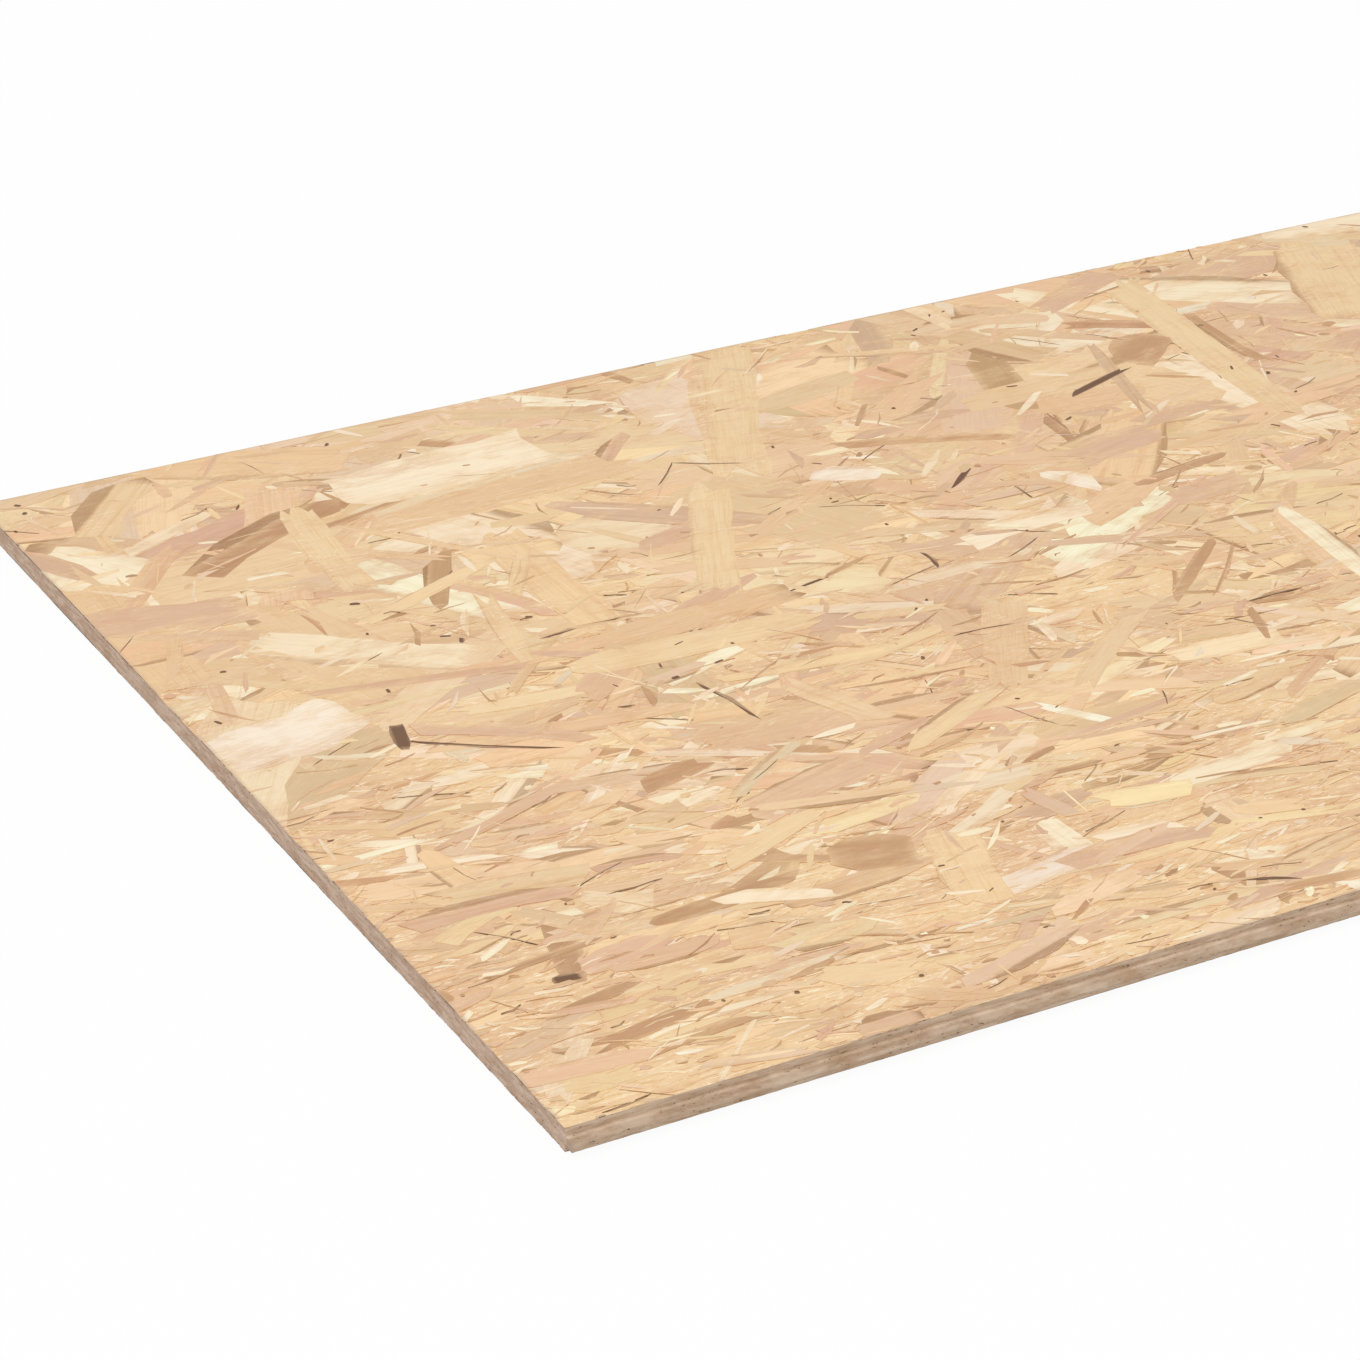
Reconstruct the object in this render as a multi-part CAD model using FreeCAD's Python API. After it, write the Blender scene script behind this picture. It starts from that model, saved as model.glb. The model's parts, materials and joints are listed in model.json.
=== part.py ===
import FreeCAD, Part

import os

# A tongue and groove oriented strand board, lying flat: one pressed panel, machined on its
# two long edges and sawn square at its two ends.
# X runs along the board, Y across it, and +Z is the upper face. The tongue is on the -Y edge
# and the groove on the +Y edge. The origin is under the middle of the bounding box.

# Panel, in millimetres
board_length = 2050.0
face_width = 675.0            # tongue's shoulders to groove's upper lip, the width it covers
board_thickness = 12.0
arris_radius = 0.4            # the long arrises, broken by the cutter

# Tongue
tongue_length = 7.0
tongue_root_thickness = 5.0
tongue_tip_thickness = 4.6
tongue_nose_radius = 1.6
upper_shoulder_height = 4.4   # from the tongue's root up to the upper face

# Groove, which takes the tongue of the next board
groove_side_clearance = 0.15  # above and below the tongue
groove_end_clearance = 0.8    # beyond the tongue's tip
groove_bottom_radius = 0.8
lower_lip_setback = 0.5       # lets the upper faces close first

overall_width = face_width + tongue_length
shoulder_y = tongue_length - overall_width / 2
lip_y = overall_width / 2
tongue_middle_z = board_thickness - upper_shoulder_height - tongue_root_thickness / 2


def prism(outline):
    """A bar along the whole board over a closed outline of (y, z) corners."""
    corners = [FreeCAD.Vector(-board_length / 2, y, z) for y, z in outline]
    wire = Part.makePolygon(corners + corners[:1])
    return Part.Face(wire).extrude(FreeCAD.Vector(board_length, 0, 0))


def rectangle(y_low, y_high, z_low, z_high):
    return [(y_low, z_low), (y_high, z_low), (y_high, z_high), (y_low, z_high)]


def tapered(root_y, tip_y, root_thickness, tip_thickness):
    """The outline of a tongue, or of the space for one, narrowing from its root to its tip."""
    return [
        (root_y, tongue_middle_z - root_thickness / 2),
        (tip_y, tongue_middle_z - tip_thickness / 2),
        (tip_y, tongue_middle_z + tip_thickness / 2),
        (root_y, tongue_middle_z + root_thickness / 2),
    ]


def rounded(bar, radius, wanted):
    """The bar with those of its long edges rounded whose (y, z) passes the test."""
    edges = []
    for edge in bar.Edges:
        first, last = edge.Vertexes[0].Point, edge.Vertexes[-1].Point
        if abs(first.x - last.x) > board_length / 2 and wanted(first.y, first.z):
            edges.append(edge)
    return bar.makeFillet(radius, edges)


def panel():
    """The pressed panel between its shoulders and its lips."""
    bar = prism(rectangle(shoulder_y, lip_y, 0, board_thickness))
    setback = rectangle(lip_y - lower_lip_setback, lip_y, 0, tongue_middle_z)
    bar = bar.cut(prism(setback))
    return rounded(bar, arris_radius, lambda y, z: z in (0, board_thickness))


def tongue():
    """The tongue, reaching back into the panel so that the two fuse."""
    root_in_panel = shoulder_y + tongue_length
    tip_y = shoulder_y - tongue_length
    bar = prism(tapered(shoulder_y, tip_y, tongue_root_thickness, tongue_tip_thickness))
    bar = rounded(bar, tongue_nose_radius, lambda y, z: y < shoulder_y - tongue_length / 2)
    inner_half = tongue_root_thickness / 2
    backing = rectangle(
        shoulder_y, root_in_panel, tongue_middle_z - inner_half, tongue_middle_z + inner_half
    )
    return bar.fuse(prism(backing))


def groove():
    """The space that the next board's tongue enters, with its clearances."""
    bottom_y = lip_y - tongue_length - groove_end_clearance
    taper = (tongue_root_thickness - tongue_tip_thickness) / tongue_length
    mouth = tongue_root_thickness + 2 * groove_side_clearance
    bottom = mouth - taper * (tongue_length + groove_end_clearance)
    bar = prism(tapered(lip_y, bottom_y, mouth, bottom))
    return rounded(bar, groove_bottom_radius, lambda y, z: y < lip_y - tongue_length / 2)


board = panel().fuse(tongue()).cut(groove()).removeSplitter()
osb_board = board.Solids[0]

os.makedirs("parts", exist_ok=True)
osb_board.exportStep("parts/osb_board.step")
print("solids", len(board.Solids), "valid", osb_board.isValid(), "volume", osb_board.Volume)
print("box", osb_board.BoundBox)
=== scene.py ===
"""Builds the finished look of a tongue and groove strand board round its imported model."""

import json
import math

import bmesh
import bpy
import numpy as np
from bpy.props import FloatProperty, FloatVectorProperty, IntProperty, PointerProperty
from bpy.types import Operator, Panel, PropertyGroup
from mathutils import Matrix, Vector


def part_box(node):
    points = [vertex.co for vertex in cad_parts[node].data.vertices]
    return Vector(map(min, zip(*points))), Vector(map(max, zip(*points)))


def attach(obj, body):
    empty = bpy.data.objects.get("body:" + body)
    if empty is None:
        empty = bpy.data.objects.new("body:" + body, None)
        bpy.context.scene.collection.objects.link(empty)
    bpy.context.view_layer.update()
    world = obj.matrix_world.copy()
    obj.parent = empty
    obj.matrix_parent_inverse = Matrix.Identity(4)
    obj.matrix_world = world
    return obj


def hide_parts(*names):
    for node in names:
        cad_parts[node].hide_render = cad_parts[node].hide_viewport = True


bl_info = {
    "name": "Strand Board",
    "version": (1, 0, 0),
    "blender": (4, 5, 0),
    "location": "View3D > Sidebar > Strand Board",
    "description": "Models a tongue and groove oriented strand board, strand by strand",
    "category": "Object",
}

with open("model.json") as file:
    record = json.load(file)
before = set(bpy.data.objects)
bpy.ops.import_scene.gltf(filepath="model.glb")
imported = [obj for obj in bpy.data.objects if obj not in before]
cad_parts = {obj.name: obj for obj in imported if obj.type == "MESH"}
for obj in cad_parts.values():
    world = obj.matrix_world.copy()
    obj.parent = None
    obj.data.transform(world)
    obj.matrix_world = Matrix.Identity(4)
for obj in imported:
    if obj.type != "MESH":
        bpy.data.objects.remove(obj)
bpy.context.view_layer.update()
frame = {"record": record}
LOW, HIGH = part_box("osb_board")
MOUNTS = {mount["name"]: mount for mount in frame["record"]["mounts"]}
SHOULDER_Y = MOUNTS["upper_shoulder"]["pos_m"][1]
LIP_Y = MOUNTS["upper_lip"]["pos_m"][1]
TONGUE_Z = MOUNTS["tongue"]["pos_m"][2]
MM = 0.001


def paint(red, green, blue):
    """A colour given as seen on a screen, 0 to 255 each, in the linear values that Blender takes."""
    seen = np.array([red, green, blue]) / 255
    return tuple(np.where(seen <= 0.04045, seen / 12.92, ((seen + 0.055) / 1.055) ** 2.4))


# ---------------------------------------------------------------- settings


def millimetres(name, description, default, least=0.0):
    return FloatProperty(
        name=name, description=description, default=default * MM, min=least, unit="LENGTH",
        precision=5,
    )


def colour(name, description, *seen):
    return FloatVectorProperty(
        name=name, description=description, default=paint(*seen), size=3, min=0, max=1,
        subtype="COLOR",
    )


class PanelSizes(PropertyGroup):
    """Sizes of the machined panel that the strands cover."""

    relief: millimetres("Relief", "Depth from the highest strand to the panel under it", 0.45)
    tongue_root: millimetres("Tongue root", "Thickness of the tongue at its shoulder", 5.0)
    tongue_tip: millimetres("Tongue tip", "Thickness of the tongue at its tip", 4.6)
    nose_radius: millimetres("Nose radius", "Rounding of the tongue's tip", 1.6)
    side_clearance: millimetres("Side clearance", "Groove's room above and below a tongue", 0.15)
    end_clearance: millimetres("End clearance", "Groove's room beyond a tongue's tip", 0.8)
    groove_radius: millimetres("Groove radius", "Rounding of the groove's bottom", 0.8)
    lip_setback: millimetres("Lip setback", "How far the lower lip stops short", 0.5)
    saw_tear: millimetres("Tear", "Depth of the roughness that the cutters leave", 0.35)
    edge_light: colour("Edge light", "Palest wood on the cut edges", 222, 200, 176)
    edge_mid: colour("Edge middle", "Usual wood on the cut edges", 202, 176, 149)
    edge_dark: colour("Edge dark", "Darkest wood and voids on the cut edges", 104, 82, 66)


class StrandSizes(PropertyGroup):
    """How many strands cover each face, how they lie and their colours."""

    seed: IntProperty(name="Seed", description="Start of the random lay", default=7)
    broad: IntProperty(name="Broad", description="Broad strands on a face", default=300)
    medium: IntProperty(name="Medium", description="Medium strands on a face", default=2600)
    small: IntProperty(name="Small", description="Small strands on a face", default=9400)
    splinters: IntProperty(name="Splinters", description="Thin splinters on a face", default=3000)
    flecks: IntProperty(name="Flecks", description="Dark specks on a face", default=500)
    white: colour("White", "Sapwood with hardly any grain", 252, 238, 218)
    cream: colour("Cream", "Pale sapwood", 253, 236, 207)
    straw: colour("Straw", "Yellow sapwood", 240, 211, 166)
    peach: colour("Peach", "Usual tan strands", 232, 195, 153)
    rose: colour("Rose", "Pinkish heartwood", 221, 182, 152)
    brown: colour("Brown", "Weathered and resin-stained strands", 196, 153, 113)
    bark: colour("Bark", "Bark, knots and burnt specks", 122, 90, 68)


class StageSettings(PropertyGroup):
    """Camera, lamps and floor."""

    lens: FloatProperty(name="Lens", description="Focal length", default=108.6, unit="CAMERA")
    pitch: FloatProperty(
        name="Pitch", description="How far the camera looks down", default=math.radians(27.24),
        subtype="ANGLE",
    )
    yaw: FloatProperty(
        name="Yaw", description="How far the camera is turned from the board's width",
        default=math.radians(28.66), subtype="ANGLE",
    )
    corner_offset: FloatVectorProperty(
        name="Offset", description="Camera's place from the tongue-side low-X top corner",
        default=(-0.619, -1.2285, 0.9086), size=3, subtype="TRANSLATION",
    )
    lamp_power: FloatProperty(
        name="Lamp power", description="Power of the soft lamp", default=41, unit="POWER",
    )
    lamp_size: FloatProperty(
        name="Lamp size", description="Width of the soft lamp", default=3, unit="LENGTH",
    )
    sky: FloatProperty(
        name="Sky", description="Strength of the white sky as it lights the board", default=0.72,
    )


# ---------------------------------------------------------------- modelling helpers


def deselect():
    if bpy.context.object and bpy.context.object.mode != "OBJECT":
        bpy.ops.object.mode_set(mode="OBJECT")
    bpy.ops.object.select_all(action="DESELECT")


def new_cube(name, low, high):
    """A box between two corners, its place in its mesh, open in edit mode with nothing selected."""
    deselect()
    middle = [(a + b) / 2 for a, b in zip(low, high)]
    size = [b - a for a, b in zip(low, high)]
    bpy.ops.mesh.primitive_cube_add(size=1, location=middle, scale=size)
    bpy.ops.object.transform_apply(location=True, rotation=True, scale=True)
    cube = bpy.context.object
    cube.name = cube.data.name = name
    bpy.ops.object.mode_set(mode="EDIT")
    bpy.ops.mesh.select_all(action="DESELECT")
    return cube


def choose(piece, part, wanted):
    """Selects, in edit mode, the faces, edges or verts whose corners pass the test."""
    mesh = bmesh.from_edit_mesh(piece.data)
    bpy.ops.mesh.select_mode(type={"faces": "FACE", "edges": "EDGE", "verts": "VERT"}[part])
    for item in getattr(mesh, part):
        corners = [item.co] if part == "verts" else [v.co for v in item.verts]
        item.select_set(bool(wanted(corners)))
    mesh.select_flush_mode()
    bmesh.update_edit_mesh(piece.data)


def near(a, b):
    return abs(a - b) < 0.02 * MM


def runs_along(axis):
    """A test for edges that lie along an axis."""
    others = [i for i in range(3) if i != axis]
    return lambda corners: all(near(corners[0][i], corners[1][i]) for i in others)


def cut_across(piece, axis, cuts):
    """Divides every edge that lies along an axis into cuts + 1 parts."""
    choose(piece, "edges", runs_along(axis))
    bpy.ops.mesh.subdivide(number_cuts=cuts)


def finish_piece(piece, material):
    """Closes edit mode and sets the piece's finish and the body that it rides on."""
    if bpy.context.object and bpy.context.object.mode != "OBJECT":
        bpy.ops.object.mode_set(mode="OBJECT")
    piece.data.materials.clear()
    piece.data.materials.append(material)
    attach(piece, "root")
    return piece


# ---------------------------------------------------------------- shader helpers


class Wire:
    """A socket whose arithmetic adds Math nodes to its finish."""

    def __init__(self, finish, socket):
        self.finish = finish
        self.socket = socket

    def maths(self, operation, *values, clamp=False):
        settings = {"operation": operation, "use_clamp": clamp}
        sockets = dict(enumerate(values))
        return self.finish.node("ShaderNodeMath", settings, sockets)

    def __add__(self, other):
        return self.maths("ADD", self, other)

    def __radd__(self, other):
        return self.maths("ADD", other, self)

    def __sub__(self, other):
        return self.maths("SUBTRACT", self, other)

    def __rsub__(self, other):
        return self.maths("SUBTRACT", other, self)

    def __mul__(self, other):
        return self.maths("MULTIPLY", self, other)

    def __rmul__(self, other):
        return self.maths("MULTIPLY", other, self)

    def __truediv__(self, other):
        return self.maths("DIVIDE", self, other)

    def __abs__(self):
        return self.maths("ABSOLUTE", self)

    def rising(self, start, end):
        """0 below start and 1 above end, with a smooth step between."""
        settings = {"interpolation_type": "SMOOTHSTEP"}
        return self.finish.node("ShaderNodeMapRange", settings, {0: self, 1: start, 2: end})


class Finish:
    """A material and the nodes that make it."""

    def __init__(self, name):
        self.material = bpy.data.materials.new(name)
        self.material.use_nodes = True
        self.tree = self.material.node_tree
        self.tree.nodes.clear()

    def node(self, kind, settings=None, sockets=None, output=0):
        """Adds a node, sets what it is told, then its sockets, and gives one of its outputs."""
        node = self.tree.nodes.new(kind)
        for name, value in (settings or {}).items():
            if name == "stops":
                ramp = node.color_ramp
                while len(ramp.elements) < len(value):
                    ramp.elements.new(0.5)
                for element, (place, shade) in zip(ramp.elements, value):
                    element.position = place
                    element.color = (*shade, 1)
            else:
                setattr(node, name, value)
        for name, value in (sockets or {}).items():
            if isinstance(value, Wire):
                self.tree.links.new(value.socket, node.inputs[name])
            else:
                node.inputs[name].default_value = value
        return Wire(self, node.outputs[output])

    def mix(self, factor, first, second, blend="MIX"):
        """Mixes two colours, or with MULTIPLY tints the first by the second's three shares."""
        settings = {"data_type": "RGBA", "blend_type": blend}
        colours = [c if isinstance(c, Wire) else (*c, 1) for c in (first, second)]
        sockets = {0: factor, 6: colours[0], 7: colours[1]}
        return self.node("ShaderNodeMix", settings, sockets, output=2)

    def stretched(self, place, scale):
        """A place multiplied by a scale along each axis."""
        return self.node("ShaderNodeVectorMath", {"operation": "MULTIPLY"}, {0: place, 1: scale})

    def noise(self, place, detail=2.0, roughness=0.5, dimensions="3D", distortion=0.0):
        settings = {"noise_dimensions": dimensions}
        sockets = {"Vector": place, "Scale": 1.0, "Detail": detail, "Roughness": roughness,
                   "Distortion": distortion}
        return self.node("ShaderNodeTexNoise", settings, sockets)

    def parts(self, vector):
        """The X, Y and Z of a vector."""
        return [self.node("ShaderNodeSeparateXYZ", None, {0: vector}, output=i) for i in range(3)]

    def surface(self, base, roughness, height, depth):
        """Ends the finish as plain wood with a bump of that depth in metres."""
        normal = self.node("ShaderNodeBump", None, {"Height": height, "Distance": depth,
                                                    "Strength": 1.0})
        shader = self.node("ShaderNodeBsdfPrincipled", None, {
            "Base Color": base, "Roughness": roughness, "Normal": normal,
            "Specular IOR Level": 0.3,
        })
        self.node_end(shader)
        return self.material

    def node_end(self, shader):
        output = self.tree.nodes.new("ShaderNodeOutputMaterial")
        self.tree.links.new(shader.socket, output.inputs["Surface"])


def ground(f, place):
    """The tone that the strands blend into where they thin out at their rims."""
    # Noise scales along, across and up, in turns for each metre: long streaks and short shards.
    drift = f.noise(f.stretched(place, (14, 26, 14)), 3, 0.6)
    streak = f.noise(f.stretched(place, (70, 420, 70)), 3, 0.6, distortion=0.6)
    shard = f.noise(f.stretched(place, (150, 800, 150)), 3, 0.6, distortion=1.2)
    shade = f.mix(drift.rising(0.36, 0.64), paint(239, 206, 160), paint(226, 186, 145))
    shade = f.mix(streak.rising(0.5, 0.72) * 0.6, shade, (0.84, 0.72, 0.58), "MULTIPLY")
    shade = f.mix((1 - streak.rising(0.28, 0.45)) * 0.6, shade, paint(250, 229, 196))
    shade = f.mix((1 - shard.rising(0.35, 0.43)) * 0.8, shade, paint(254, 237, 208))
    return f.mix(shard.rising(0.6, 0.68) * 0.6, shade, (0.66, 0.52, 0.40), "MULTIPLY")


def strand_finish():
    """Sliced softwood: each strand's own tone, with grain along it, thin rims and stained ends."""
    f = Finish("sliced_strands")
    tone = f.node("ShaderNodeAttribute", {"attribute_name": "tone"})
    chance = f.node("ShaderNodeAttribute", {"attribute_name": "tone"}, output="Alpha")
    grain = f.node("ShaderNodeUVMap", {"uv_map": "grain"})
    along, across, _ = f.parts(f.node("ShaderNodeUVMap", {"uv_map": "rim"}))
    place = f.node("ShaderNodeTexCoord", output="Object")
    under = ground(f, place)

    # Grain, from broad to fine, and stains that run across several strands.
    rings = f.noise(f.stretched(grain, (9, 220, 1)), 3, 0.6, "2D", 0.8)
    fibre = f.noise(f.stretched(grain, (45, 1400, 1)), 3, 0.6, "2D")
    blotch = f.noise(f.stretched(place, (38, 38, 38)), 3, 0.6)
    cloud = f.noise(f.stretched(place, (30, 70, 30)), 4, 0.65, distortion=0.5)

    # Where a strand is thin, at its rims and in patches, the tone under it shows. Dark ones hide it.
    thin_side = (abs(across) + (fibre - 0.5) * 0.5).rising(0.5, 1.05)
    thin_end = (abs(along) + (fibre - 0.5) * 0.4).rising(0.7, 1.05)
    rim = thin_side.maths("MAXIMUM", thin_side, thin_end) * 0.45
    pale_one = f.parts(tone)[0].rising(0.2, 0.75)
    thin = rim.maths("ADD", (0.08 + cloud.rising(0.42, 0.64) * 0.45) * pale_one, rim, clamp=True)
    wood = f.mix(thin, tone, under)
    latewood = rings.rising(0.5, 0.74) * (0.16 + chance * 0.28)
    wood = f.mix(latewood, wood, (0.82, 0.68, 0.50), "MULTIPLY")
    pale = (1 - rings.rising(0.28, 0.46)) * 0.25
    wood = f.mix(pale, wood, (1.08, 1.10, 1.12), "MULTIPLY")
    wood = f.mix(fibre.rising(0.38, 0.8) * 0.4, wood, (0.84, 0.76, 0.64), "MULTIPLY")
    wood = f.mix(blotch.rising(0.48, 0.75) * 0.3, wood, (0.92, 0.82, 0.70), "MULTIPLY")

    # Some strands have a painted shadow line along one side, and a few a stained end.
    side = (across + (blotch - 0.5) * 0.3).rising(0.82, 1.0) * chance.rising(0.4, 0.7) * 0.6
    end = (along + (blotch - 0.5) * 0.5).rising(0.66, 1.02) * chance.rising(0.86, 0.94) * 0.85
    stain_and_shadow_line = side.maths("MAXIMUM", side, end)
    wood = f.mix(stain_and_shadow_line, wood, (0.44, 0.32, 0.23), "MULTIPLY")

    # The faces are worn and dusty along the sawn edges.
    x, y, _ = f.parts(place)
    inset = (HIGH.x - abs(x)).maths("MINIMUM", HIGH.x - abs(x), y - SHOULDER_Y)
    inset = inset.maths("MINIMUM", inset, LIP_Y - y)
    worn = 1 - (inset + (blotch - 0.5) * 4 * MM).rising(0, 2.2 * MM)
    wood = f.mix(worn * 0.6, wood, paint(204, 176, 147))

    height = fibre * 0.5 + rings * 0.5
    return f.surface(wood, 0.58 + fibre * 0.16, height, 0.12 * MM)


def edge_finish(sizes):
    """The cut edges: layers of strands seen from the side or the end, with small voids."""
    f = Finish("cut_edges")
    place = f.node("ShaderNodeTexCoord", output="Object")
    facing = f.parts(f.node("ShaderNodeNewGeometry", output="Normal"))
    end_on = abs(facing[0]).rising(0.6, 0.8)
    half = (HIGH.z - LOW.z) / 2
    off_middle = abs(f.parts(place)[2] - LOW.z - half)
    face_on = abs(facing[2]).rising(0.95, 0.99) * off_middle.rising(half - 1.2 * MM, half - 0.8 * MM)

    def layers(side_scale, end_scale, detail):
        side = f.noise(f.stretched(place, side_scale), detail, 0.6)
        end = f.noise(f.stretched(place, end_scale), detail, 0.6)
        return side + (end - side) * end_on

    coarse = layers((45, 120, 520), (110, 80, 520), 4)
    fine = layers((220, 400, 1700), (400, 300, 1700), 4)
    speck = layers((420, 700, 1100), (700, 480, 1100), 2)
    wood = f.mix(coarse.rising(0.4, 0.62), tuple(sizes.edge_mid), tuple(sizes.edge_light))
    wood = f.mix(fine.rising(0.45, 0.7) * 0.5, wood, (0.72, 0.66, 0.60), "MULTIPLY")
    wood = f.mix((1 - fine.rising(0.3, 0.42)) * 0.4, wood, tuple(sizes.edge_light))
    voids = speck.rising(0.62, 0.7) * (1 - coarse.rising(0.45, 0.6)) * 0.9
    wood = f.mix(voids, wood, tuple(sizes.edge_dark))
    stained = f.noise(f.stretched(place, (60, 60, 160)), 3, 0.6)
    wood = f.mix(stained.rising(0.48, 0.66) * 0.5, wood, (0.82, 0.70, 0.60), "MULTIPLY")
    wood = f.mix(end_on * 0.6, wood, (0.88, 0.82, 0.88), "MULTIPLY")
    # The core's wood, which the tongue is cut from, is darker than the wood by the faces. On the
    # tongue's upward face it is darker still from 1.4 mm out from the shoulder: painted shade.
    out = SHOULDER_Y - f.parts(place)[1]
    ledge = facing[2].rising(0.7, 0.95)
    nose_core = out.rising(0.5 * MM, 2 * MM) * (1 - ledge)
    core_wood_and_painted_shade = nose_core + out.rising(1.4 * MM, 3 * MM) * ledge * 1.25
    wood = f.mix(core_wood_and_painted_shade * 0.7, wood, (0.74, 0.70, 0.67), "MULTIPLY")
    wood = f.mix(face_on, wood, ground(f, place))
    return f.surface(wood, 0.75 + fine * 0.12, coarse * 0.7 + fine * 0.3, 0.4 * MM)


# ---------------------------------------------------------------- the panel


def model_panel(sizes):
    """The machined panel with its tongue and groove, a relief's depth under each face."""
    top = HIGH.z - sizes.relief
    bottom = LOW.z + sizes.relief
    tongue_length = SHOULDER_Y - LOW.y
    root = sizes.tongue_root / 2
    panel = new_cube("panel", (LOW.x, SHOULDER_Y, bottom), (HIGH.x, LIP_Y, top))
    for z in (TONGUE_Z - root, TONGUE_Z + root):
        bpy.ops.mesh.select_all(action="SELECT")
        bpy.ops.mesh.bisect(plane_co=(0, 0, z), plane_no=(0, 0, 1))

    def middle_band(y):
        return lambda corners: all(
            near(c.y, y) and abs(c.z - TONGUE_Z) < root + 0.02 * MM for c in corners
        )

    choose(panel, "faces", middle_band(SHOULDER_Y))
    bpy.ops.mesh.extrude_region_move(TRANSFORM_OT_translate={"value": (0, -tongue_length, 0)})
    bpy.ops.transform.resize(
        value=(1, 1, sizes.tongue_tip / sizes.tongue_root),
        center_override=(0, LOW.y, TONGUE_Z),
    )
    choose(panel, "edges", lambda c: near(c[0].y, LOW.y) and near(c[1].y, LOW.y)
           and near(c[0].z, c[1].z))
    bpy.ops.mesh.bevel(offset=sizes.nose_radius, segments=5)

    mouth = sizes.tongue_root + 2 * sizes.side_clearance
    depth = tongue_length + sizes.end_clearance
    taper = (sizes.tongue_root - sizes.tongue_tip) / tongue_length
    choose(panel, "faces", middle_band(LIP_Y))
    bpy.ops.transform.resize(
        value=(1, 1, mouth / sizes.tongue_root), center_override=(0, LIP_Y, TONGUE_Z)
    )
    bpy.ops.mesh.extrude_region_move(TRANSFORM_OT_translate={"value": (0, -depth, 0)})
    bpy.ops.transform.resize(
        value=(1, 1, (mouth - taper * depth) / mouth),
        center_override=(0, LIP_Y - depth, TONGUE_Z),
    )
    choose(panel, "edges", lambda c: near(c[0].y, LIP_Y - depth) and near(c[1].y, LIP_Y - depth)
           and near(c[0].z, c[1].z))
    bpy.ops.mesh.bevel(offset=sizes.groove_radius, segments=3)
    choose(panel, "verts", lambda c: near(c[0].y, LIP_Y) and c[0].z < TONGUE_Z)
    bpy.ops.transform.translate(value=(0, -sizes.lip_setback, 0))

    for _ in range(2):
        cut_across(panel, 0, 31)
    bpy.ops.object.mode_set(mode="OBJECT")
    return panel


def roughen_edges(panel, sizes):
    """Tears the machined edges a little, inwards only, and leaves the two faces flat."""
    edge = panel.vertex_groups.new(name="edge")
    inside = [
        v.index for v in panel.data.vertices
        if LOW.z + 1.2 * sizes.relief < v.co.z < HIGH.z - 1.2 * sizes.relief
    ]
    edge.add(inside, 1.0, "REPLACE")
    clouds = bpy.data.textures.new("tear", "CLOUDS")
    clouds.noise_scale = 4 * MM
    tear = panel.modifiers.new("tear", "DISPLACE")
    tear.texture = clouds
    tear.texture_coords = "LOCAL"
    tear.direction = "NORMAL"
    tear.mid_level = 0
    tear.strength = -sizes.saw_tear
    tear.vertex_group = edge.name
    deselect()
    bpy.context.view_layer.objects.active = panel
    panel.select_set(True)
    bpy.ops.object.modifier_apply(modifier=tear.name)
    for vertex in panel.data.vertices:
        vertex.co = [min(max(c, a), b) for c, a, b in zip(vertex.co, LOW, HIGH)]


class STRAND_OT_panel(Operator):
    """Model the machined panel with its tongue and groove"""

    bl_idname = "strand.panel"
    bl_label = "Panel"

    def execute(self, context):
        sizes = context.scene.panel_sizes
        panel = model_panel(sizes)
        roughen_edges(panel, sizes)
        finish_piece(panel, edge_finish(sizes))
        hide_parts("osb_board")
        return {"FINISHED"}


# ---------------------------------------------------------------- the strands


def strand_shape(draw, along, across, ragged, taper, bow):
    """One strand of unit size, its ends torn and its sides uneven: corners and four-cornered faces."""
    shape = new_cube("shape", (-0.5, -0.5, -0.5), (0.5, 0.5, 0.5))
    cut_across(shape, 0, along)
    if across:
        cut_across(shape, 1, across)
    mesh = bmesh.from_edit_mesh(shape.data)
    columns = sorted({(round(v.co.x, 3), round(v.co.y, 3)) for v in mesh.verts})
    bend = draw.uniform(-bow, bow)
    tapers = {-1: draw.uniform(0.2 * taper, taper), 1: draw.uniform(0.2 * taper, taper)}
    for x, y in columns:
        at_end, at_side = abs(x) > 0.49, abs(y) > 0.49
        shift_x = draw.uniform(-ragged, 0) * np.sign(x) if at_end else draw.uniform(-0.03, 0.03)
        narrowing = tapers[1 if x > 0 else -1] * (2 * abs(x)) ** 3
        wander = -y * draw.uniform(0, 0.2) if at_side else draw.uniform(-0.08, 0.08)
        shift_y = -y * narrowing + wander * (1 - narrowing) + bend * (1 - 4 * x * x)

        def here(corners, x=x, y=y):
            return abs(corners[0].x - x) < 0.001 and abs(corners[0].y - y) < 0.001

        choose(shape, "verts", here)
        bpy.ops.transform.translate(value=(shift_x, shift_y, 0))
    bpy.ops.object.mode_set(mode="OBJECT")
    corners = np.array([v.co for v in shape.data.vertices])
    faces = np.array([list(p.vertices) for p in shape.data.polygons])
    bpy.data.meshes.remove(shape.data)
    return corners, faces


def strand_shapes(seed):
    """The shapes that every strand is a stretched copy of, by kind."""
    draw = np.random.default_rng(seed)
    makers = {
        "broad": (9, 7, 4, 0.1, 0.3, 0.2),
        "medium": (12, 2, 1, 0.2, 0.5, 0.4),
        "small": (10, 1, 0, 0.3, 0.75, 0.5),
        "splinter": (4, 1, 0, 0.20, 0.95, 1.5),
        "fleck": (5, 5, 1, 0.04, 0.75, 0.15),
    }
    return {
        kind: [strand_shape(draw, *how) for _ in range(number)]
        for kind, (number, *how) in makers.items()
    }


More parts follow.
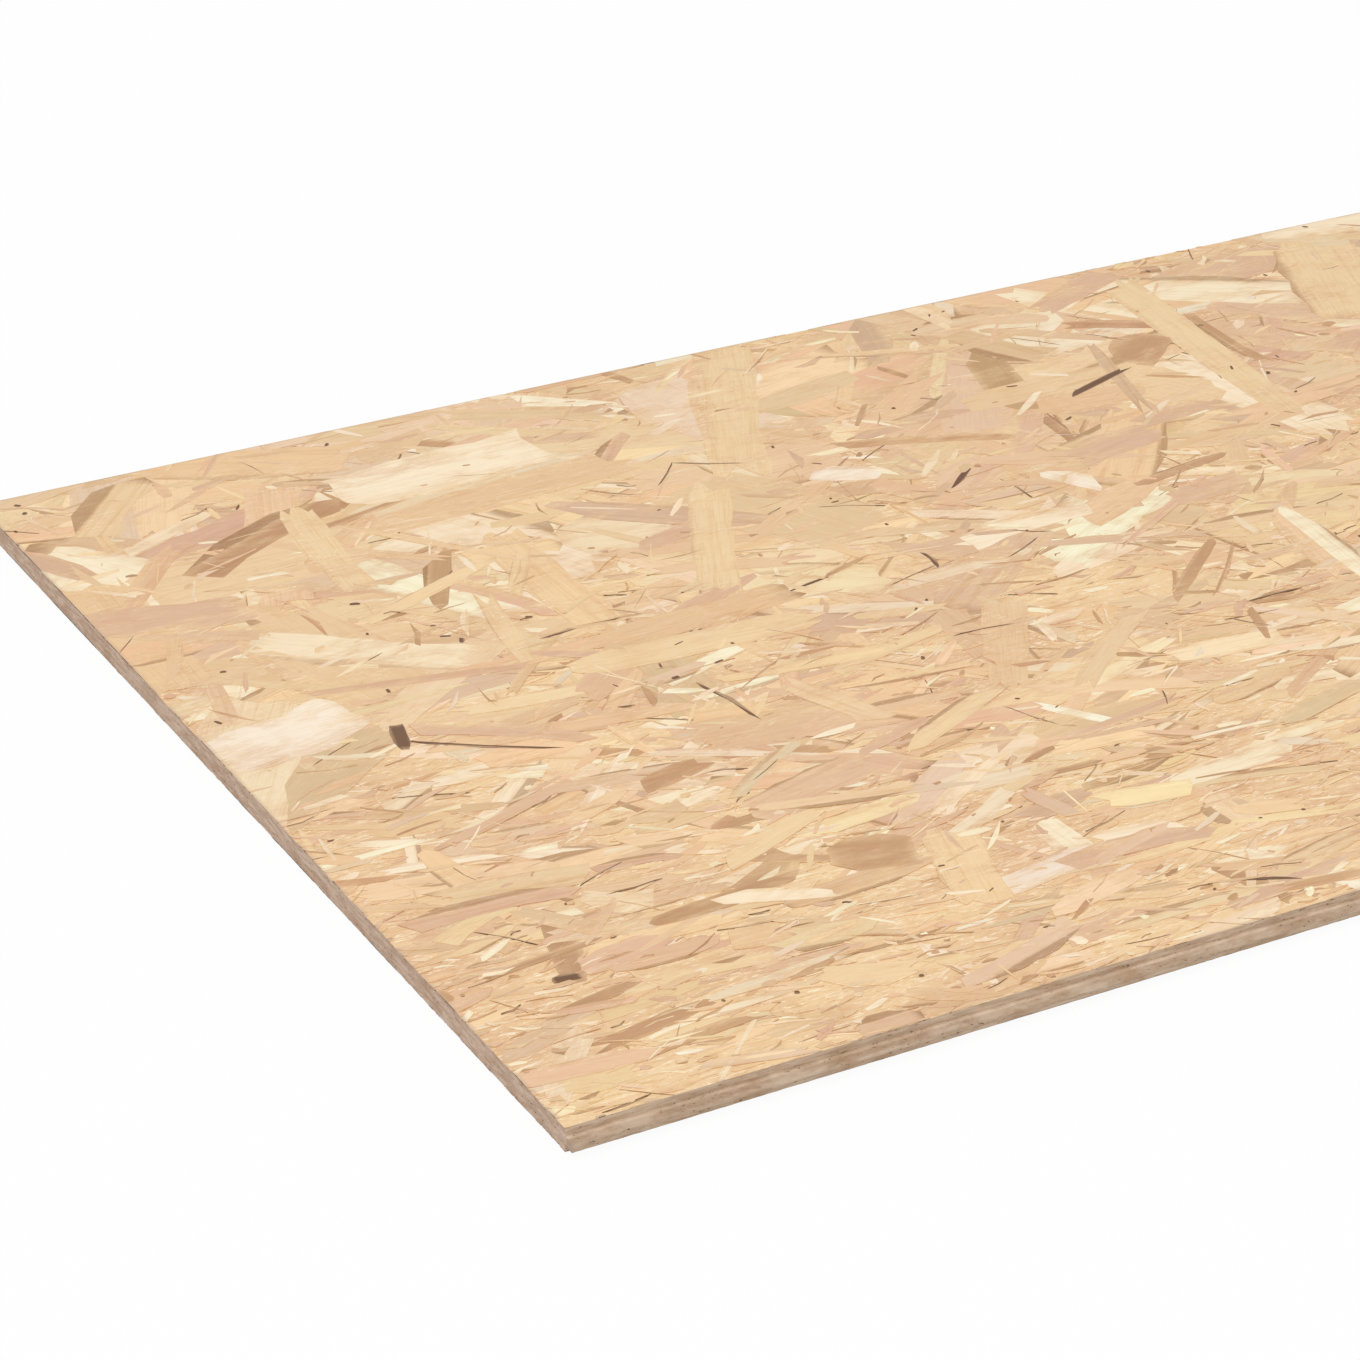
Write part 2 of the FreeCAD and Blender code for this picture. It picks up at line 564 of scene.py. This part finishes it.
def coarseness(x, y):
    """0 where the strands are fine and lie along the board, to 1 where they are broad and crossed."""
    drift = 0.5 + 0.5 * np.sin(5.1 * x + 1.9) * np.cos(2.3 * x - 0.4)
    across = (y - SHOULDER_Y) / (LIP_Y - SHOULDER_Y)
    return np.clip(1.25 * across + 0.35 * drift - 0.22, 0, 1)


def lay(draw, number, lengths, widths, spread, leaning):
    """Random strands of one kind: place, size and turn, as a table of columns.
    Leaning is above 0 for a kind that gathers where the board is coarse, and below it if fine."""
    x = draw.uniform(LOW.x - 20 * MM, HIGH.x + 20 * MM, 4 * number)
    y = draw.uniform(SHOULDER_Y - 10 * MM, LIP_Y + 10 * MM, 4 * number)
    liking = np.exp(leaning * (coarseness(x, y) - 0.5))
    kept = draw.choice(4 * number, number, replace=False, p=liking / liking.sum())
    x, y = x[kept], y[kept]
    coarse = coarseness(x, y)
    grow = 0.75 + 0.45 * coarse
    length = draw.uniform(*lengths, number) * MM * grow
    width = draw.gamma(2.2, (widths[1] - widths[0]) / 5, number) + widths[0]
    width = np.minimum(width, widths[1]) * MM * grow
    turned = draw.normal(0, 1, number) * np.radians(spread * (0.55 + 1.0 * coarse))
    crossed = draw.uniform(0, 1, number) < 0.06 + 0.22 * coarse
    turned = np.where(crossed, draw.uniform(-np.pi / 2, np.pi / 2, number), turned)
    turned += draw.choice([0, np.pi], number)
    return {"x": x, "y": y, "length": length, "width": width, "turn": turned}


def tones(draw, sizes, number, weights):
    """A colour for each strand, from the palette by weight, each a little its own."""
    palette = np.array([getattr(sizes, name) for name in PALETTE])
    weights = np.array(weights, float)
    picked = draw.choice(len(palette), number, p=weights / weights.sum())
    usual = [PALETTE.index(name) for name in ("cream", "straw", "peach", "rose")]
    other = palette[draw.choice(usual, number)]
    share = draw.uniform(0, 0.45, (number, 1)) * np.isin(picked, usual)[:, None]
    shade = draw.normal(1, 0.065, (number, 1))
    tint = draw.normal(1, 0.018, (number, 3))
    return np.clip((palette[picked] * (1 - share) + other * share) * shade * tint, 0.02, 0.97)


class Pile:
    """Gives each strand a height that no strand under or over it shares."""

    cell = 9 * MM
    levels = 180

    def __init__(self, draw):
        self.draw = draw
        self.taken = {}

    def covered(self, x, y, length, width, turn):
        """The cells under a strand."""
        steps = int(length / self.cell * 1.6) + 2
        rows = int(width / self.cell * 1.6) + 2
        u = np.linspace(-0.5, 0.5, steps)[:, None] * length
        v = np.linspace(-0.5, 0.5, rows)[None, :] * width
        px = (x + u * np.cos(turn) - v * np.sin(turn)).ravel() / self.cell
        py = (y + u * np.sin(turn) + v * np.cos(turn)).ravel() / self.cell
        return set(zip(np.floor(px).astype(int).tolist(), np.floor(py).astype(int).tolist()))

    def level(self, wanted, *strand):
        """The free level nearest the wanted one, from 0 to 1."""
        cells = self.covered(*strand)
        taken = 0
        for cell in cells:
            taken |= self.taken.get(cell, 0)
        first = int(wanted * (self.levels - 1))
        for step in range(self.levels):
            tries = [n for n in (first + step, first - step) if 0 <= n < self.levels]
            free = [n for n in tries if not taken >> n & 1]
            if free:
                first = free[0]
                break
        for cell in cells:
            self.taken[cell] = self.taken.get(cell, 0) | 1 << first
        return first / (self.levels - 1)


def joined(name, copies):
    """One mesh of many stretched copies, with their grain, rim and tone."""
    corners, faces, grain, rim, tone = [], [], [], [], []
    start = 0
    for part in copies:
        count, size = part["corners"].shape[:2]
        corners.append(part["corners"].reshape(-1, 3))
        grain.append(part["grain"].reshape(-1, 2))
        rim.append(part["rim"].reshape(-1, 2))
        tone.append(np.repeat(part["tone"], size, axis=0))
        offsets = start + np.arange(count)[:, None, None] * size
        faces.append((part["faces"][None] + offsets).reshape(-1, 4))
        start += count * size
    faces = np.concatenate(faces)
    mesh = bpy.data.meshes.new(name)
    mesh.from_pydata(np.concatenate(corners).tolist(), [], faces.tolist())
    loops = faces.ravel()
    for layer, values in (("grain", grain), ("rim", rim)):
        values = np.concatenate(values)[loops]
        mesh.uv_layers.new(name=layer).uv.foreach_set("vector", values.ravel().astype(np.float32))
    mesh.attributes.new("tone", "FLOAT_COLOR", "POINT").data.foreach_set(
        "color", np.concatenate(tone).ravel().astype(np.float32)
    )
    piece = bpy.data.objects.new(name, mesh)
    bpy.context.scene.collection.objects.link(piece)
    return piece


def placed(draw, shapes, table, colours, levels, chance, top, foot):
    """The copies of one kind of strand, each standing from the panel up to its own level."""
    number = len(table["x"])
    pick = draw.integers(0, len(shapes), number)
    shift = draw.uniform(-2, 2, (number, 2))
    copies = []
    for index, (unit, faces) in enumerate(shapes):
        chosen = np.flatnonzero(pick == index)
        along = unit[None, :, 0] * table["length"][chosen, None]
        across = unit[None, :, 1] * table["width"][chosen, None]
        turn = table["turn"][chosen, None]
        x = table["x"][chosen, None] + along * np.cos(turn) - across * np.sin(turn)
        y = table["y"][chosen, None] + along * np.sin(turn) + across * np.cos(turn)
        # No top lies quite level with the panel, with the face or with another strand.
        own_level = levels[chosen] + draw.uniform(-0.4, 0.4, len(chosen)) / Pile.levels
        height = foot + (top - foot) * (0.05 + 0.94 * own_level)
        z = np.where(unit[None, :, 2] > 0, height[:, None], foot - np.sign(top - foot) * 0.1 * MM)
        if top < foot:
            faces = faces[:, ::-1]
        copies.append({
            "corners": np.stack([x, y, z], -1),
            "faces": faces,
            "grain": np.stack([along, across], -1) + shift[chosen, None, :],
            "rim": np.broadcast_to(unit[None, :, :2] * 2, (len(chosen), len(unit), 2)),
            "tone": np.concatenate([colours[chosen], chance[chosen, None]], 1),
        })
    return copies


def trim(piece):
    """Saws the strands flush with the panel's ends, shoulder and lip."""
    deselect()
    bpy.context.view_layer.objects.active = piece
    piece.select_set(True)
    bpy.ops.object.mode_set(mode="EDIT")
    cuts = (
        ((LOW.x, 0, 0), (-1, 0, 0)), ((HIGH.x, 0, 0), (1, 0, 0)),
        ((0, SHOULDER_Y, 0), (0, -1, 0)), ((0, LIP_Y, 0), (0, 1, 0)),
    )
    for place, outwards in cuts:
        bpy.ops.mesh.select_all(action="SELECT")
        bpy.ops.mesh.bisect(
            plane_co=place, plane_no=outwards, use_fill=True, clear_outer=True, threshold=0.001 * MM
        )
    bpy.ops.object.mode_set(mode="OBJECT")


PALETTE = ("white", "cream", "straw", "peach", "rose", "brown", "bark")
KINDS = {
    # kind: lengths mm, widths mm, spread degrees, leaning, level range, palette weights
    "broad": ((80, 150), (18, 62), 30, 4.0, (0.3, 0.8), (0.03, 1.8, 3.4, 4.2, 2.4, 0.12, 0)),
    "medium": ((35, 120), (4, 24), 22, -0.4, (0.0, 0.92), (0.07, 2.2, 3.6, 4.2, 3.0, 0.6, 0)),
    "small": ((6, 42), (1.4, 7), 26, -1.2, (0.1, 1.0), (0.12, 3.6, 3.2, 3.6, 3.2, 1.3, 0.08)),
    "splinter": ((6, 40), (0.5, 1.7), 30, -0.5, (0.5, 1.0), (0.15, 2.8, 1.4, 1.6, 1.8, 3.0, 1.5)),
    "fleck": ((1.6, 6), (0.8, 2.8), 40, 0, (0.85, 1.0), (0, 0, 0, 0, 0.6, 2.0, 2.2)),
}
BY_HAND_LEVEL = 0.94  # near the top of the pile
# Strands that stand out, each one listed. From the low-X end and the tongue's shoulder, in
# millimetres and degrees: kind, along, across, length, width, turn, colour, rim chance
STANDING_OUT = (
    ("broad", 415, 598, 200, 40, 64, "straw", 0.3), ("broad", 322, 455, 135, 25, 64, "straw", 0.5),
    ("broad", 693, 550, 225, 27, 84, "straw", 0.3), ("medium", 712, 548, 88, 10, 88, "brown", 0.6),
    ("broad", 822, 590, 130, 58, 68, "straw", 0.6), ("broad", 232, 602, 140, 52, 3, "cream", 0.4),
    ("broad", 250, 556, 165, 32, 6, "peach", 0.2), ("medium", 324, 572, 62, 13, 48, "rose", 0.8),
    ("fleck", 661, 557, 46, 34, 40, "brown", 0.1), ("medium", 612, 530, 64, 6, 20, "bark", 0.2),
    ("broad", 36, 362, 84, 46, 12, "white", 0.1), ("medium", 120, 381, 138, 8, -12, "rose", 0.5),
    ("fleck", 84, 332, 26, 9, 75, "bark", 0.1), ("splinter", 115, 306, 88, 3, -34, "bark", 0.1),
    ("medium", 126, 313, 98, 14, -34, "rose", 0.3), ("broad", 268, 379, 124, 26, 3, "peach", 0.95),
    ("medium", 285, 393, 82, 14, 22, "rose", 0.3), ("broad", 254, 352, 142, 26, -3, "straw", 0.5),
    ("splinter", 212, 393, 48, 2.6, 2, "bark", 0.1), ("medium", 178, 410, 92, 13, 80, "straw", 0.6),
    ("medium", 214, 466, 64, 10, 58, "straw", 0.6), ("broad", 140, 538, 112, 23, 85, "straw", 0.4),
    ("fleck", 222, 130, 42, 34, -20, "brown", 0.1), ("medium", 190, 143, 52, 8, -28, "brown", 0.3),
    ("fleck", 53, 101, 13, 6, -10, "bark", 0.1), ("splinter", 237, 290, 50, 3, -80, "bark", 0.1),
    ("small", 207, 313, 26, 6, 80, "brown", 0.2), ("medium", 325, 224, 92, 14, 25, "straw", 0.9),
    ("splinter", 312, 206, 54, 3.2, 18, "brown", 0.5), ("medium", 290, 222, 60, 9, 18, "rose", 0.3),
    ("medium", 520, 305, 92, 8, 40, "brown", 0.4), ("splinter", 532, 297, 80, 3, 46, "brown", 0.5),
    ("small", 510, 237, 46, 6, 70, "brown", 0.5), ("splinter", 536, 259, 34, 2.2, 0, "bark", 0.1),
    ("medium", 422, 488, 46, 20, -25, "white", 0.1), ("medium", 470, 386, 92, 22, 5, "cream", 0.2),
    ("medium", 523, 425, 42, 18, -60, "white", 0.1), ("medium", 580, 383, 62, 26, 10, "rose", 0.2),
    ("splinter", 405, 377, 24, 3.4, 85, "bark", 0.1), ("medium", 20, 460, 62, 9, 68, "peach", 0.9),
    ("broad", 675, 650, 82, 23, 25, "rose", 0.3), ("medium", 312, 468, 78, 16, 12, "rose", 0.3),
    ("broad", 570, 450, 68, 27, 12, "rose", 0.2), ("broad", 35, 505, 92, 36, -15, "rose", 0.4),
    ("medium", 50, 168, 92, 14, -3, "rose", 0.6), ("medium", 165, 118, 62, 12, -22, "cream", 0.2),
    ("medium", 190, 165, 78, 14, 22, "straw", 0.3), ("medium", 390, 186, 98, 7, 8, "rose", 0.5),
    ("fleck", 235, 122, 15, 8, 65, "bark", 0.1), ("fleck", 672, 560, 14, 9, 70, "bark", 0.1),
)


def standing_out(kind, sizes):
    """The table, colours and chances of the strands listed one by one, of one kind."""
    rows = [row[1:] for row in STANDING_OUT if row[0] == kind]
    along, across, length, width, turn = np.array([row[:5] for row in rows], float).T
    table = {
        "x": LOW.x + along * MM, "y": SHOULDER_Y + across * MM, "length": length * MM,
        "width": width * MM, "turn": np.radians(turn),
    }
    colours = np.array([getattr(sizes, row[5]) for row in rows])
    return table, colours, np.array([row[6] for row in rows])


def cover_face(name, seed, sizes, top, foot, by_hand):
    """Covers one face of the panel with strands, as three joined pieces."""
    draw = np.random.default_rng(seed)
    shapes = strand_shapes(seed)
    pile = Pile(draw)
    numbers = {"broad": sizes.broad, "medium": sizes.medium, "small": sizes.small,
               "splinter": sizes.splinters, "fleck": sizes.flecks}
    groups = {"broad": [], "small": [], "fine": []}
    belongs = {"medium": "broad", "splinter": "fine", "fleck": "fine"}

    def levels_of(wanted, table):
        columns = (table[key] for key in ("x", "y", "length", "width", "turn"))
        return np.array([pile.level(*row) for row in zip(wanted, *columns)])

    chosen = []
    if by_hand:
        for kind in KINDS:
            table, colours, chance = standing_out(kind, sizes)
            wanted = np.full(len(chance), BY_HAND_LEVEL)
            chosen.append((kind, table, colours, levels_of(wanted, table), chance))
    for kind, (lengths, widths, spread, leaning, level_range, weights) in KINDS.items():
        number = numbers[kind]
        table = lay(draw, number, lengths, widths, spread, leaning)
        levels = levels_of(draw.uniform(*level_range, number), table)
        colours = tones(draw, sizes, number, weights)
        chosen.append((kind, table, colours, levels, draw.uniform(0, 1, number)))
    for kind, *rest in chosen:
        groups[belongs.get(kind, kind)] += placed(draw, shapes[kind], *rest, top, foot)
    pieces = []
    for group, copies in groups.items():
        piece = joined(f"{name}_{group}_strands", copies)
        trim(piece)
        pieces.append(piece)
    return pieces


class STRAND_OT_faces(Operator):
    """Lay the strands on the upper and lower faces"""

    bl_idname = "strand.faces"
    bl_label = "Face strands"

    def execute(self, context):
        sizes = context.scene.strand_sizes
        relief = context.scene.panel_sizes.relief
        material = strand_finish()
        faces = (
            ("upper", sizes.seed, HIGH.z, HIGH.z - relief, True),
            ("lower", sizes.seed + 1, LOW.z, LOW.z + relief, False),
        )
        for name, seed, top, foot, by_hand in faces:
            for piece in cover_face(name, seed, sizes, top, foot, by_hand):
                finish_piece(piece, material)
        return {"FINISHED"}


# ---------------------------------------------------------------- the stage


def floor_finish():
    """A pale floor that looks white to the camera and still shows the board's soft shadow."""
    f = Finish("pale_floor")
    paint_coat = f.node("ShaderNodeBsdfDiffuse", None, {"Color": (0.86, 0.86, 0.86, 1)})
    glow = f.node("ShaderNodeEmission", None, {"Color": (1, 1, 1, 1), "Strength": 1.0})
    seen = f.node("ShaderNodeLightPath", output="Is Camera Ray")
    f.node_end(f.node("ShaderNodeMixShader", None, {0: seen * 0.95, 1: paint_coat, 2: glow}))
    return f.material


class STRAND_OT_stage(Operator):
    """Set the floor, the lamps, the world and the camera"""

    bl_idname = "strand.stage"
    bl_label = "Stage"

    def execute(self, context):
        stage = context.scene.stage_settings
        deselect()
        bpy.ops.mesh.primitive_plane_add(size=60, location=(0, 0, LOW.z - 0.2 * MM))
        floor = context.object
        floor.name = "floor"
        floor.data.materials.append(floor_finish())

        bpy.ops.object.light_add(type="AREA", location=(-1.2, -0.6, 3.2))
        lamp = context.object
        lamp.name = "softbox"
        lamp.data.shape = "DISK"
        lamp.data.size = stage.lamp_size
        lamp.data.energy = stage.lamp_power
        lamp.rotation_euler = (math.radians(8), math.radians(-18), 0)

        world = bpy.data.worlds.new("studio")
        context.scene.world = world
        world.use_nodes = True
        tree = world.node_tree
        tree.nodes.clear()
        output = tree.nodes.new("ShaderNodeOutputWorld")
        sky = tree.nodes.new("ShaderNodeBackground")
        sky.inputs["Color"].default_value = (1, 1, 1, 1)
        seen = tree.nodes.new("ShaderNodeLightPath")
        level = tree.nodes.new("ShaderNodeMapRange")
        level.inputs["To Min"].default_value = stage.sky
        level.inputs["To Max"].default_value = 1.0
        tree.links.new(seen.outputs["Is Camera Ray"], level.inputs["Value"])
        tree.links.new(level.outputs["Result"], sky.inputs["Strength"])
        tree.links.new(sky.outputs["Background"], output.inputs["Surface"])

        corner = (LOW.x, SHOULDER_Y, HIGH.z)
        place = [a + b for a, b in zip(corner, stage.corner_offset)]
        bpy.ops.object.camera_add(location=place)
        camera = context.object
        camera.rotation_euler = (math.pi / 2 - stage.pitch, 0, -stage.yaw)
        camera.data.lens = stage.lens
        camera.data.clip_end = 100
        context.scene.camera = camera
        context.scene.view_settings.view_transform = "Standard"
        return {"FINISHED"}


# ---------------------------------------------------------------- add-on


class STRAND_PT_panel(Panel):
    """Lists the board's pieces in the order in which they are made"""

    bl_idname = "STRAND_PT_panel"
    bl_label = "Strand Board"
    bl_space_type = "VIEW_3D"
    bl_region_type = "UI"
    bl_category = "Strand Board"

    def draw(self, context):
        for operator in OPERATORS:
            self.layout.operator(operator.bl_idname)


OPERATORS = (STRAND_OT_panel, STRAND_OT_faces, STRAND_OT_stage)
GROUPS = {"panel_sizes": PanelSizes, "strand_sizes": StrandSizes, "stage_settings": StageSettings}
CLASSES = (*GROUPS.values(), *OPERATORS, STRAND_PT_panel)


def register():
    for entry in CLASSES:
        bpy.utils.register_class(entry)
    for name, group in GROUPS.items():
        setattr(bpy.types.Scene, name, PointerProperty(type=group))


def unregister():
    for name in GROUPS:
        delattr(bpy.types.Scene, name)
    for entry in reversed(CLASSES):
        bpy.utils.unregister_class(entry)


def main():
    register()
    for operator in OPERATORS:
        group, name = operator.bl_idname.split(".")
        getattr(getattr(bpy.ops, group), name)()


if __name__ == "__main__":
    main()
